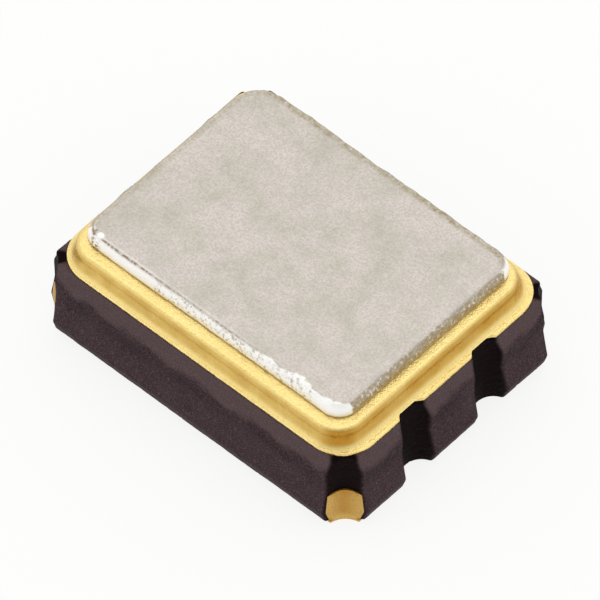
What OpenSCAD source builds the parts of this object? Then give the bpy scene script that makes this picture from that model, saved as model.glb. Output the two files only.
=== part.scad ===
// Surface-mount crystal oscillator in a ceramic package with a seam-welded lid.
// Millimetres. X runs along the long side, Y along the short side and Z up.
// The origin is under the middle of the package, level with its solder lands.

/* [Ceramic base] */
// Length of the base over its widest line
base_length = 3.2; // [2.7:0.05:5]
// Width of the base over its widest line
base_width = 2.5; // [2.4:0.05:3.6]
// Height of the ceramic, from its underside to the seal band
ceramic_height = 0.72; // [0.7:0.01:1.2]
// How far the walls lean in at the underside
foot_inset = 0.04; // [0:0.005:0.045]
// Height of the bevel that the lower score line leaves
foot_bevel = 0.12; // [0.05:0.01:0.2]
// How far the walls lean in at the waist
waist_inset = 0.05; // [0:0.005:0.07]
// Height of the waist above the underside
waist_height = 0.38; // [0.25:0.01:0.45]
// How far the walls lean in at the upper shoulder
shoulder_inset = 0.04; // [0:0.005:0.07]
// Distance of the shoulder below the top
shoulder_drop = 0.16; // [0.1:0.01:0.2]
// How far the walls lean in at the top
top_inset = 0.085; // [0:0.005:0.095]
// Depth of the upper score line
top_score = 0.05; // [0.02:0.01:0.08]

/* [Castellations] */
// Radius of the quarter-round notch down each corner
corner_notch_radius = 0.2; // [0.12:0.01:0.22]
// How far each corner notch's centre stands inside the widest lines, from (-X, -Y) anticlockwise
corner_notch_insets = [0, 0.04, 0.02, 0.04]; // [0:0.005:0.045]
// Radius of the half-round notches in the short sides
side_notch_radius = 0.16; // [0.1:0.01:0.18]
// Distance between the two notches in a short side
side_notch_pitch = 0.81; // [0.7:0.01:0.85]
// Thickness of the plating in the corner notches
plating_thickness = 0.015; // [0.01:0.005:0.03]
// Height of the plating in the corner notches
corner_plating_height = 0.36; // [0.1:0.01:0.5]

/* [Solder lands] */
// Thickness of the lands under the base
land_thickness = 0.02; // [0.01:0.005:0.04]
// Distance from the widest line of the base to a land
land_edge = 0.055; // [0.045:0.005:0.08]
// Length of a corner land, along X
land_length = 0.9; // [0.5:0.05:1]
// Width of a corner land, along Y
land_width = 0.48; // [0.3:0.01:0.5]
// Radius of the lands' corners
land_corner = 0.05; // [0.02:0.01:0.08]
// Chamfer that marks the first land
index_chamfer = 0.16; // [0.08:0.01:0.25]
// Length of a test land, along X
test_land_length = 0.3; // [0.25:0.01:0.4]
// How far a test land reaches past its notch on either side
test_land_margin = 0.04; // [0.02:0.005:0.05]

/* [Seal] */
// Distance from the widest line of the base to the seal band
band_inset = 0.1; // [0.095:0.005:0.115]
// Thickness of the seal band
band_thickness = 0.02; // [0.01:0.005:0.03]
// Outer corner radius of the seal band
band_corner = 0.3; // [0.2:0.01:0.32]
// Gap between a side notch and the edge of the metal beside it
side_notch_gap = 0.008; // [0.004:0.002:0.02]
// Thickness of the braze under the ring
braze_thickness = 0.01; // [0.005:0.005:0.02]
// Width and height of the braze fillet round the ring
fillet_size = 0.045; // [0.03:0.005:0.045]
// Distance from the widest line of the base's short sides to the ring
ring_end_inset = 0.19; // [0.185:0.005:0.25]
// Distance from the widest line of the base's long sides to the ring
ring_side_inset = 0.175; // [0.175:0.005:0.25]
// How far along X the ring stands off the middle of the base
ring_shift_x = -0.015; // [-0.015:0.005:0.015]
// How far along Y the ring stands off the middle of the base
ring_shift_y = -0.015; // [-0.015:0.005:0.015]
// Width of the ring's rails
ring_width = 0.3; // [0.25:0.005:0.32]
// Height of the ring
ring_height = 0.155; // [0.1:0.005:0.3]
// Outer corner radius of the ring
ring_corner = 0.24; // [0.15:0.01:0.28]
// Inner corner radius of the ring
ring_inner_corner = 0.12; // [0.08:0.01:0.16]
// Radius of the ring's outer shoulder
ring_shoulder = 0.045; // [0.02:0.005:0.06]

/* [Lid] */
// Distance from the ring's outer face to the lid
lid_setback = 0.075; // [0.06:0.005:0.12]
// How far along X the lid stands off the middle of the ring
lid_shift_x = -0.03; // [-0.045:0.005:0.045]
// How far along Y the lid stands off the middle of the ring
lid_shift_y = 0.045; // [-0.045:0.005:0.045]
// Thickness of the lid
lid_thickness = 0.11; // [0.08:0.005:0.15]
// Corner radius of the lid
lid_corner = 0.17; // [0.1:0.01:0.2]
// Radius of the welded edge
weld_radius = 0.035; // [0.02:0.005:0.04]
// Distance from the lid's edge to the middle of the weld track
track_inset = 0.06; // [0.055:0.005:0.08]
// Half width of the weld track, which is as deep as it is wide from its middle
track_radius = 0.01; // [0.005:0.001:0.015]

/* [Cavity] */
// How far the cavity's walls stand inside the ring
cavity_setback = 0.03; // [0.02:0.005:0.05]
// How far the seal band stays back from the cavity
band_inner_margin = 0.015; // [0.01:0.005:0.02]
// Corner radius of the cavity
cavity_corner = 0.1; // [0.06:0.01:0.12]
// Thickness of the cavity's floor
floor_thickness = 0.18; // [0.12:0.01:0.2]
// Height of the bond shelf above the floor
shelf_height = 0.19; // [0.17:0.01:0.21]
// Height of the crystal ledge above the floor
ledge_height = 0.32; // [0.31:0.01:0.35]
// Length of the crystal ledge, along X
ledge_length = 0.36; // [0.3:0.01:0.4]
// Thickness of the metal pads inside the cavity
inner_pad_thickness = 0.012; // [0.01:0.001:0.015]

/* [Chip and bonds] */
// Length of the chip, along X
die_length = 0.9; // [0.7:0.05:1.1]
// Width of the chip, along Y
die_width = 0.7; // [0.5:0.05:0.75]
// Thickness of the chip
die_thickness = 0.15; // [0.1:0.01:0.16]
// Gap between the chip and the walls of its pit
pit_clearance = 0.1; // [0.08:0.01:0.12]
// Width of the metal pad showing round the chip
die_pad_margin = 0.07; // [0.05:0.01:0.075]
// Width of the adhesive showing round the chip
die_adhesive_margin = 0.035; // [0.02:0.005:0.045]
// Thickness of the adhesive under the chip
die_adhesive_thickness = 0.018; // [0.01:0.001:0.02]
// Number of bonds on either side of the chip
bonds_per_side = 3; // [2, 3]
// Distance between bonds on the chip
bond_pitch = 0.27; // [0.2:0.01:0.28]
// Distance from the chip's edge to its bonds
bond_inset = 0.07; // [0.06:0.005:0.1]
// Distance between bond fingers
finger_pitch = 0.36; // [0.3:0.01:0.38]
// Width of a bond finger, along X
finger_width = 0.2; // [0.12:0.01:0.24]
// Gap between a bond finger and the edges of its shelf
finger_margin = 0.04; // [0.03:0.005:0.05]
// Diameter of the bond wire
wire_diameter = 0.025; // [0.02:0.001:0.03]
// Height of the wire loops above the chip
wire_loop = 0.085; // [0.06:0.005:0.1]
// Diameter of the ball at the chip end of a wire
ball_diameter = 0.07; // [0.05:0.005:0.08]
// Height of the ball
ball_height = 0.02; // [0.015:0.001:0.025]
// Length of the flattened stitch at the finger end
stitch_length = 0.05; // [0.04:0.005:0.06]

/* [Crystal] */
// Gap between the quartz blank and the cavity's walls
blank_gap = 0.1; // [0.08:0.01:0.12]
// Thickness of the quartz blank
blank_thickness = 0.045; // [0.03:0.005:0.06]
// Thickness of the electrode films
electrode_thickness = 0.01; // [0.008:0.001:0.012]
// Distance from the blank's ends to the electrodes
electrode_end_margin = 0.44; // [0.4:0.01:0.6]
// Distance from the blank's long sides to the electrodes
electrode_side_margin = 0.215; // [0.2:0.005:0.3]
// Width of the electrodes' lead strips
lead_width = 0.2; // [0.1:0.01:0.22]
// Length of the top electrode's wrap under the blank
wrap_length = 0.24; // [0.2:0.01:0.25]
// Diameter of the conductive adhesive dots
adhesive_diameter = 0.18; // [0.12:0.01:0.2]
// Height of the conductive adhesive dots
adhesive_height = 0.03; // [0.02:0.005:0.04]
// Distance between the two adhesive dots
adhesive_pitch = 0.78; // [0.7:0.01:0.85]
// Length of a crystal pad, along X
crystal_pad_length = 0.26; // [0.22:0.01:0.28]
// Width of a crystal pad, along Y
crystal_pad_width = 0.4; // [0.25:0.01:0.45]

/* [Hidden] */
$fn = 64;
cut = 0.05; // how far a cutter runs past what it cuts

ceramic_color = [0.17, 0.14, 0.15];
gold_color = [0.90, 0.75, 0.38];
lid_color = [0.76, 0.73, 0.69];
chip_color = [0.32, 0.34, 0.38];
silver_epoxy_color = [0.62, 0.62, 0.60];
quartz_color = [0.82, 0.87, 0.90];

// Levels above the plane of the solder lands
base_bottom = land_thickness;
base_top = base_bottom + ceramic_height;
band_top = base_top + band_thickness;
ring_bottom = band_top + braze_thickness;
ring_top = ring_bottom + ring_height;
cavity_floor = base_bottom + floor_thickness;
die_bottom = cavity_floor + inner_pad_thickness + die_adhesive_thickness;
die_top = die_bottom + die_thickness;
shelf_top = cavity_floor + shelf_height;
finger_top = shelf_top + inner_pad_thickness;
ledge_top = cavity_floor + ledge_height;
crystal_pad_top = ledge_top + inner_pad_thickness;
film_bottom = crystal_pad_top + adhesive_height;
blank_bottom = film_bottom + electrode_thickness;
blank_top = blank_bottom + blank_thickness;

// Outlines, as [along X, along Y]
base_size = [base_length, base_width];
band_size = base_size - 2 * band_inset * [1, 1];
ring_size = base_size - 2 * [ring_end_inset, ring_side_inset];
ring_opening = ring_size - 2 * ring_width * [1, 1];
lid_size = ring_size - 2 * lid_setback * [1, 1];
ring_place = [ring_shift_x, ring_shift_y];
lid_place = ring_place + [lid_shift_x, lid_shift_y];
cavity_size = ring_opening - 2 * cavity_setback * [1, 1];
band_opening = cavity_size + 2 * band_inner_margin * [1, 1];
die_size = [die_length, die_width];
pit_size = die_size + 2 * pit_clearance * [1, 1];
blank_size = cavity_size - 2 * blank_gap * [1, 1];
electrode_size = blank_size - 2 * [electrode_end_margin, electrode_side_margin];

// Thickness of the fillet's thin edges, and how far the centre of its hollow is from its root
fillet_edge = fillet_size / 15;
fillet_centre = fillet_size * 7 / 6;

// The ledge takes up the -X end of the cavity, and the chip is in the middle of the rest
cavity_start = -cavity_size.x / 2;
ledge_end = cavity_start + ledge_length;
chip_x = (ledge_end + cavity_size.x / 2) / 2;
shelf_width = (cavity_size.y - pit_size.y) / 2;
finger_length = shelf_width - 2 * finger_margin;
adhesive_x = (cavity_start + blank_gap + ledge_end) / 2;

// Corners are counted anticlockwise from above, from (-X, -Y)
CORNERS = [[-1, -1], [1, -1], [1, 1], [-1, 1]];
BOND_COUNT = 2 * bonds_per_side;

function numbered(name, count) = [for (i = [1:count]) str(name, "_", i)];

// ---- Shared outlines and sweeps ----

// A rectangle with round corners
module rounded_rect(size, radius) {
    square([size.x - 2 * radius, size.y], center = true);
    square([size.x, size.y - 2 * radius], center = true);
    for (c = CORNERS)
        translate([c.x * (size.x / 2 - radius), c.y * (size.y / 2 - radius)])
            circle(radius);
}

// A flat frame between two rounded rectangles
module frame_outline(outer, outer_radius, inner, inner_radius) {
    difference() {
        rounded_rect(outer, outer_radius);
        rounded_rect(inner, inner_radius);
    }
}

// Carries a cross-section round a rounded rectangle.
// The section is drawn with x outwards from that outline and y up.
module carry_round(size, radius) {
    for (turn = [0:3])
        let (
            half = size / 2 - radius * [1, 1],
            ahead = turn % 2 == 0 ? half.x : half.y,
            aside = turn % 2 == 0 ? half.y : half.x
        )
        rotate(90 * turn) {
            translate([ahead, aside])
                rotate_extrude(angle = 90)
                    translate([radius, 0])
                        children();
            translate([ahead + radius, aside])
                rotate([90, 0, 0])
                    linear_extrude(2 * aside)
                        children();
        }
}

// The section that rounds an outer top edge off, with the edge at (0, height)
module edge_cutter(height, radius) {
    translate([-radius, height - radius])
        difference() {
            square(radius + cut);
            circle(radius);
        }
}

// ---- Ceramic base ----

// Half of the snapped wall's section: how far it stands out at each height
function wall_section(span) = [
    [span / 2 - foot_inset, 0],
    [span / 2, foot_bevel],
    [span / 2 - waist_inset, waist_height],
    [span / 2 - shoulder_inset, ceramic_height - shoulder_drop],
    [span / 2 - top_inset, ceramic_height - top_score],
    [span / 2 - top_inset, ceramic_height]
];

// The wall's section from side to side, carried straight along the base
module wall_prism(span, depth) {
    right = wall_section(span);
    left = [for (i = [len(right) - 1:-1:0]) [-right[i].x, right[i].y]];
    rotate([90, 0, 0])
        linear_extrude(depth, center = true)
            polygon(concat(right, left));
}

// The block that scoring and snapping leave, before any notch
module snapped_block() {
    translate([0, 0, base_bottom])
        intersection() {
            wall_prism(base_length, base_width);
            rotate(90) wall_prism(base_width, base_length);
        }
}

// Places its children on the centre of a corner's notch
module at_corner_notch(i) {
    corner = base_size / 2 - corner_notch_insets[i - 1] * [1, 1];
    translate([CORNERS[i - 1].x * corner.x, CORNERS[i - 1].y * corner.y]) children();
}

// Places its children on the centre of the side notch next to a corner
module at_side_notch(i) {
    c = CORNERS[i - 1];
    translate([c.x * base_length / 2, c.y * side_notch_pitch / 2]) children();
}

// The stepped cavity: the open well, the bond shelf and the chip's pit
module cavity() {
    translate([0, 0, ledge_top])
        linear_extrude(base_top - ledge_top + cut)
            rounded_rect(cavity_size, cavity_corner);
    translate([0, 0, shelf_top])
        linear_extrude(base_top - shelf_top + cut)
            difference() {
                rounded_rect(cavity_size, cavity_corner);
                translate([cavity_start - cut, -base_width / 2])
                    square([ledge_length + cut, base_width]);
            }
    translate([chip_x, 0, cavity_floor])
        linear_extrude(base_top - cavity_floor)
            square(pit_size, center = true);
}

module ceramic_base() {
    color(ceramic_color)
        difference() {
            snapped_block();
            cavity();
            for (i = [1:4]) {
                at_corner_notch(i) cylinder(h = base_top + cut, r = corner_notch_radius);
                at_side_notch(i) cylinder(h = base_top + cut, r = side_notch_radius);
            }
        }
}

// ---- Seal: metal band, braze, ring and lid ----

module seal_band() {
    color(gold_color)
        translate([0, 0, base_top])
            linear_extrude(band_thickness)
                difference() {
                    frame_outline(band_size, band_corner, band_opening, cavity_corner);
                    for (i = [1:4]) {
                        at_corner_notch(i) circle(corner_notch_radius);
                        at_side_notch(i) circle(side_notch_radius + side_notch_gap);
                    }
                }
}

// Concave section of the braze that climbs the ring from the band.
// Its hollow is an arc between two thin edges.
module fillet_section() {
    difference() {
        square(fillet_size);
        translate([fillet_centre, fillet_centre])
            circle(norm([fillet_centre - fillet_size, fillet_centre - fillet_edge]));
    }
}

module braze_joint() {
    color(gold_color)
        translate([ring_place.x, ring_place.y, band_top]) {
            linear_extrude(braze_thickness)
                frame_outline(ring_size, ring_corner, ring_opening, ring_inner_corner);
            carry_round(ring_size, ring_corner) fillet_section();
        }
}

module seal_ring() {
    color(gold_color)
        translate([ring_place.x, ring_place.y, ring_bottom])
            difference() {
                linear_extrude(ring_height)
                    frame_outline(ring_size, ring_corner, ring_opening, ring_inner_corner);
                carry_round(ring_size, ring_corner)
                    edge_cutter(ring_height, ring_shoulder);
            }
}

// The lid's edge is melted round by the seam weld, whose electrodes leave a track
module lid() {
    color(lid_color)
        translate([lid_place.x, lid_place.y, ring_top])
            difference() {
                linear_extrude(lid_thickness) rounded_rect(lid_size, lid_corner);
                carry_round(lid_size, lid_corner)
                    edge_cutter(lid_thickness, weld_radius);
                carry_round(lid_size, lid_corner)
                    translate([-track_inset, lid_thickness])
                        circle(track_radius);
            }
}

// ---- Solder terminals and test lands ----

// A land in the corner of the underside, drawn for the (+X, +Y) corner
module corner_land_outline(has_index) {
    size = [land_length, land_width];
    middle = base_size / 2 - land_edge * [1, 1] - size / 2;
    translate(middle)
        difference() {
            rounded_rect(size, land_corner);
            if (has_index)
                translate(-size / 2)
                    rotate(45)
                        square(index_chamfer * sqrt(2), center = true);
        }
}

// A corner's land and the plating up its notch, in one
module terminal(i) {
    c = CORNERS[i - 1];
    color(gold_color)
        difference() {
            union() {
                linear_extrude(land_thickness)
                    scale([c.x, c.y]) corner_land_outline(i == 1);
                intersection() {
                    snapped_block();
                    at_corner_notch(i)
                        cylinder(h = corner_plating_height, r = corner_notch_radius);
                }
            }
            at_corner_notch(i)
                translate([0, 0, -cut])
                    cylinder(h = base_top, r = corner_notch_radius - plating_thickness);
        }
}

// The small land under a side notch
module test_land(i) {
    c = CORNERS[i - 1];
    width = 2 * (side_notch_radius + test_land_margin);
    color(gold_color)
        linear_extrude(land_thickness)
            difference() {
                translate([
                    c.x * (base_length / 2 - land_edge - test_land_length / 2),
                    c.y * side_notch_pitch / 2
                ])
                    rounded_rect([test_land_length, width], land_corner);
                at_side_notch(i) circle(side_notch_radius + side_notch_gap);
            }
}

// ---- Chip and bonds ----

// A flat plate centred on the chip, with a margin round the chip's outline
module chip_plate(bottom, thickness, margin) {
    translate([chip_x, 0, bottom + thickness / 2])
        cube([die_length + 2 * margin, die_width + 2 * margin, thickness], center = true);
}

module die_pad() {
    color(gold_color) chip_plate(cavity_floor, inner_pad_thickness, die_pad_margin);
}

module die_adhesive() {
    color(silver_epoxy_color)
        chip_plate(
            cavity_floor + inner_pad_thickness,
            die_adhesive_thickness,
            die_adhesive_margin
        );
}

module oscillator_die() {
    color(chip_color) chip_plate(die_bottom, die_thickness, 0);
}

// Bonds are counted along -Y's side and then along +Y's
function bond_side(i) = i <= bonds_per_side ? -1 : 1;
function bond_place(i) = (i - 1) % bonds_per_side - (bonds_per_side - 1) / 2;
function ball_at(i) = [
    chip_x + bond_place(i) * bond_pitch,
    bond_side(i) * (die_width / 2 - bond_inset)
];
function finger_at(i) = [
    chip_x + bond_place(i) * finger_pitch,
    bond_side(i) * (cavity_size.y / 2 - shelf_width / 2)
];

module bond_finger(i) {
    color(gold_color)
        translate([finger_at(i).x, finger_at(i).y, shelf_top + inner_pad_thickness / 2])
            cube([finger_width, finger_length, inner_pad_thickness], center = true);
}

WIRE_SIDES = 8;
LOOP_STEPS = 8;
// Heights of the loop's two control points, in loop heights, which bring its top to one
LOOP_LIFT = [1.3, 1.15];
// How far along the span the second control point is
LOOP_REACH = 0.55;
// Rings of the ball, as [height in ball heights, half width in ball diameters]
BALL_RINGS = [[0, 0.4], [0.5, 0.5], [0.9, 0.35]];
// Rings of the stitch, as [place along it, width and height in wire diameters, slope]
STITCH_RINGS = [[0, 1.1, 1, -0.3], [0.5, 1.5, 0.6, 0], [1, 1.8, 0.25, 0]];

function bezier(p, t) =
    pow(1 - t, 3) * p[0] + 3 * t * pow(1 - t, 2) * p[1]
    + 3 * t * t * (1 - t) * p[2] + pow(t, 3) * p[3];

function bezier_slope(p, t) =
    3 * pow(1 - t, 2) * (p[1] - p[0]) + 6 * t * (1 - t) * (p[2] - p[1])
    + 3 * t * t * (p[3] - p[2]);

// One ring of a wire whose centre and heading lie in the plane of X and Z.
// half is [half the width across that plane, half the height in it].
function wire_ring(centre, heading, half) =
    let (along = heading / norm(heading))
    [for (k = [0:WIRE_SIDES - 1])
        let (a = 360 * (k + 0.5) / WIRE_SIDES)
        [
            centre.x - along.y * half.y * sin(a),
            half.x * cos(a),
            centre.y + along.x * half.y * sin(a)
        ]
    ];

// Rings of a ball-and-stitch bond that runs for span along X and climbs by rise
function wire_rings(span, rise) =
    let (
        r = wire_diameter / 2,
        low = r * cos(180 / WIRE_SIDES),
        loop = [
            [0, ball_height],
            [0, wire_loop * LOOP_LIFT[0]],
            [span * LOOP_REACH, wire_loop * LOOP_LIFT[1]],
            [span - stitch_length, rise + low]
        ]
    )
    concat(
        [for (ring = BALL_RINGS)
            wire_ring([0, ring[0] * ball_height], [0, 1], ring[1] * ball_diameter * [1, 1])
        ],
        [for (k = [0:LOOP_STEPS - 1])
            let (t = k / LOOP_STEPS)
            wire_ring(bezier(loop, t), bezier_slope(loop, t), r * [1, 1])
        ],
        [for (ring = STITCH_RINGS)
            let (x = span - stitch_length * (1 - ring[0]))
            wire_ring([x, rise + ring[2] * low], [1, ring[3]], r * [ring[1], ring[2]])
        ]
    );

module bond_wire(i) {
    from = ball_at(i);
    to = finger_at(i);
    span = norm(to - from) + stitch_length / 2;
    rings = wire_rings(span, finger_top - die_top);
    last = len(rings) - 1;
    color(gold_color)
        translate([from.x, from.y, die_top])
            rotate(atan2(to.y - from.y, to.x - from.x))
                polyhedron(
                    points = [for (ring = rings, point = ring) point],
                    faces = concat(
                        [[for (k = [0:WIRE_SIDES - 1]) k]],
                        [for (j = [0:last - 1], k = [0:WIRE_SIDES - 1])
                            let (next = (k + 1) % WIRE_SIDES, low = j * WIRE_SIDES)
                            [low + k, low + WIRE_SIDES + k, low + WIRE_SIDES + next, low + next]
                        ],
                        [[for (k = [WIRE_SIDES - 1:-1:0]) last * WIRE_SIDES + k]]
                    )
                );
}

// ---- Crystal ----

// The two supports are on either side of the middle of the ledge
function support_y(i) = (i == 1 ? -1 : 1) * adhesive_pitch / 2;

module crystal_pad(i) {
    color(gold_color)
        translate([adhesive_x, support_y(i), ledge_top + inner_pad_thickness / 2])
            cube([crystal_pad_length, crystal_pad_width, inner_pad_thickness], center = true);
}

module crystal_adhesive(i) {
    color(silver_epoxy_color)
        translate([adhesive_x, support_y(i), crystal_pad_top])
            cylinder(h = adhesive_height, d = adhesive_diameter);
}

module quartz_blank() {
    color(quartz_color)
        translate([0, 0, blank_bottom + blank_thickness / 2])
            cube([blank_size.x, blank_size.y, blank_thickness], center = true);
}

// An electrode's film and its lead strip, which reaches the blank's -X end on one side
module electrode_film(bottom, side) {
    translate([0, 0, bottom + electrode_thickness / 2])
        cube([electrode_size.x, electrode_size.y, electrode_thickness], center = true);
    translate([-blank_size.x / 2, side * adhesive_pitch / 2 - lead_width / 2, bottom])
        cube([blank_size.x / 2, lead_width, electrode_thickness]);
}

module electrode_top() {
    end_x = -blank_size.x / 2;
    lead_y = adhesive_pitch / 2 - lead_width / 2;
    color(silver_epoxy_color) {
        electrode_film(blank_top, 1);
        translate([end_x - electrode_thickness, lead_y, film_bottom])
            cube([electrode_thickness, lead_width, blank_top + electrode_thickness - film_bottom]);
        translate([end_x - electrode_thickness, lead_y, film_bottom])
            cube([wrap_length + electrode_thickness, lead_width, electrode_thickness]);
    }
}

module electrode_bottom() {
    color(silver_epoxy_color) electrode_film(film_bottom, -1);
}

// ---- What is drawn ----

ceramic_base();
seal_band();
braze_joint();
seal_ring();
lid();
for (i = [1:4]) {
    terminal(i);
    test_land(i);
}
die_pad();
die_adhesive();
oscillator_die();
for (i = [1:BOND_COUNT]) {
    bond_finger(i);
    bond_wire(i);
}
for (i = [1:2]) {
    crystal_pad(i);
    crystal_adhesive(i);
}
quartz_blank();
electrode_top();
electrode_bottom();
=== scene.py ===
"""Fine surfaces and finishes of a surface-mount crystal oscillator.

Everything is in metres, in the package's own frame: X runs along the long side,
Y along the short side and Z up, with the origin under the middle of the package.
The shapes are worked out in millimetres and scaled when they become meshes.
"""

import math

import bmesh
import bpy
import numpy as np
from bpy.props import FloatProperty, FloatVectorProperty, PointerProperty
from bpy.types import Operator, Panel, PropertyGroup
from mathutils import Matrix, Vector


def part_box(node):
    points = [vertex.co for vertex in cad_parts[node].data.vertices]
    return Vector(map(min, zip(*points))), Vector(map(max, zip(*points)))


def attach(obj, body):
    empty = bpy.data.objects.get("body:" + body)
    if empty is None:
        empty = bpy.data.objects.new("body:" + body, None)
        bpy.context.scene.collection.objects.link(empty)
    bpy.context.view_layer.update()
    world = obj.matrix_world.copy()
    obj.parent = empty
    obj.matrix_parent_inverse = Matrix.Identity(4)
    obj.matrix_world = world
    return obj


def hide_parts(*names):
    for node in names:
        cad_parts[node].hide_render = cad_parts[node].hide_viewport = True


bl_info = {
    "name": "Crystal oscillator",
    "version": (1, 0, 0),
    "blender": (4, 5, 0),
    "location": "3D View > Sidebar > Oscillator",
    "description": "Builds the fine surfaces, the finishes and the stage of a crystal oscillator",
    "category": "Add Mesh",
}

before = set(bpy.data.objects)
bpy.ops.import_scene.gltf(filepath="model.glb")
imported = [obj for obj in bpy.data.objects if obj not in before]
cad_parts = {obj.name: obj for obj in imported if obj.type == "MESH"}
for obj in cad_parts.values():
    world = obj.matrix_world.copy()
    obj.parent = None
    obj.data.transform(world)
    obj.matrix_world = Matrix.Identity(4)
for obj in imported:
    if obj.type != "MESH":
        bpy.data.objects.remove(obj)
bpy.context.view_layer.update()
MM = 0.001


# ---- Settings ----


def length(name, description, millimetres):
    """A size in metres that is written in millimetres."""
    return FloatProperty(
        name=name,
        description=description,
        default=millimetres * MM,
        min=0.0,
        precision=6,
        unit="LENGTH",
    )


def lengths(name, description, millimetres):
    """Several sizes in metres that are written in millimetres."""
    return FloatVectorProperty(
        name=name,
        description=description,
        default=[value * MM for value in millimetres],
        size=len(millimetres),
        min=0.0,
        precision=6,
        unit="LENGTH",
    )


def level(name, description, value):
    """The radiance of a light, where 1 renders as white, or a share of one."""
    return FloatProperty(name=name, description=description, default=value, min=0.0)


def turn(name, description, degrees):
    """An angle that is written in degrees."""
    return FloatProperty(
        name=name, description=description, default=math.radians(degrees), subtype="ANGLE"
    )


def tone(name, description, colour):
    """A colour, as linear red, green and blue."""
    return FloatVectorProperty(
        name=name,
        description=description,
        default=colour,
        size=3,
        min=0.0,
        max=1.0,
        subtype="COLOR",
    )


class BaseSettings(PropertyGroup):
    """Sizes of the ceramic base, its plated notches and its lands"""

    corner_notch: length("Corner notch", "Radius of the notch down each corner", 0.2)
    notch_insets: lengths(
        "Notch insets",
        "How far inside the widest lines the centre of each corner's notch is",
        (0, 0.04, 0.02, 0.04),
    )
    side_notch: length("Side notch", "Radius of the notches in the short sides", 0.16)
    side_pitch: length("Side pitch", "Distance between the notches of a side", 0.81)
    foot_inset: length("Foot inset", "Lean of the walls at the underside", 0.04)
    foot_bevel: length("Foot bevel", "Height of the bevel of the lower score", 0.12)
    waist_inset: length("Waist inset", "Lean of the walls at the waist", 0.05)
    waist_height: length("Waist height", "Height of the waist over the underside", 0.38)
    shoulder_inset: length("Shoulder inset", "Lean of the walls at the shoulder", 0.04)
    shoulder_drop: length("Shoulder drop", "Depth of the shoulder under the top", 0.16)
    top_inset: length("Top inset", "Lean of the walls at the top", 0.085)
    top_score: length("Top score", "Depth of the upper score line", 0.05)
    unevenness: length("Unevenness", "Depth of the waves in the broken walls", 0.004)
    chip_depth: length("Chip depth", "Depth of the chips along the edges", 0.012)
    spacing: length("Spacing", "Distance between the mesh's points", 0.012)
    cavity_corner: length("Cavity corner", "Corner radius of the cavity", 0.1)
    crystal_gap: length("Crystal gap", "Gap between the quartz and the cavity", 0.1)
    pit_gap: length("Pit gap", "Gap between the chip and its pit", 0.1)
    ledge_length: length("Ledge length", "Length of the crystal's ledge", 0.36)
    plating: length("Plating", "Thickness of the plating in the notches", 0.015)
    land_corner: length("Land corner", "Radius of the lands' corners", 0.05)
    index_chamfer: length("Index chamfer", "Chamfer that marks the first land", 0.16)
    land_edge: length("Land edge", "Distance from the widest lines to the lands", 0.07)
    land_size: lengths("Land size", "Length and width of the corner lands", (0.9, 0.48))
    land_bevel: length("Land bevel", "Bevel round the corner lands", 0.003)
    test_land_gap: length("Test land gap", "Gap between a test land and its notch", 0.024)


class SealSettings(PropertyGroup):
    """Sizes of the band, the braze and the ring"""

    band_corner: length("Band corner", "Outer corner radius of the band", 0.3)
    band_edge: length("Band edge", "Rounding of the band's outer edge", 0.008)
    notch_gap: length("Notch gap", "Gap between a notch and the band", 0.008)
    inner_margin: length("Inner margin", "How far the band stays off the cavity", 0.015)
    fillet_width: length("Fillet width", "Width of the braze fillet", 0.066)
    fillet_height: length("Fillet height", "Height of the braze fillet", 0.1)
    fillet_toe: length("Fillet toe", "Thickness of the fillet's thin edges", 0.001)
    ring_width: length("Ring width", "Width of the ring's rails", 0.3)
    ring_corner: length("Ring corner", "Outer corner radius of the ring", 0.24)
    ring_inner_corner: length("Ring inner corner", "Inner corner radius of the ring", 0.12)
    ring_shoulder: length("Ring shoulder", "Radius of the ring's shoulder", 0.045)
    ring_rounding: length("Ring rounding", "Radius of the ring's inner edge", 0.01)


class LidSettings(PropertyGroup):
    """Sizes of the lid and its welded edge"""

    corner: length("Corner", "Corner radius of the lid", 0.17)
    bead: length("Bead", "Width of the melted edge", 0.042)
    bead_height: length("Bead height", "Height of the melted edge", 0.085)
    bead_wander: length("Bead wander", "How far the bead's width wanders", 0.007)
    bead_rise: length("Bead rise", "Height of the bead over the sheet", 0.003)
    bead_lumps: length("Bead lumps", "Height of the lumps in the bead", 0.0025)
    track_inset: length("Track inset", "Distance of the groove from the lid's edge", 0.06)
    track_depth: length("Track depth", "Depth of the groove beside the bead", 0.004)
    track_width: length("Track width", "Half width of the groove beside the bead", 0.012)
    edge_wander: length("Edge wander", "How far the lid's rim wanders", 0.005)
    bead_spread: length("Bead spread", "How far the bead spreads near (+X, -Y)", 0.04)
    blunt_corner: length("Blunt corner", "How far the (-X, +Y) corner is drawn in", 0.055)
    spacing: length("Spacing", "Distance between the mesh's points", 0.008)


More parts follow.
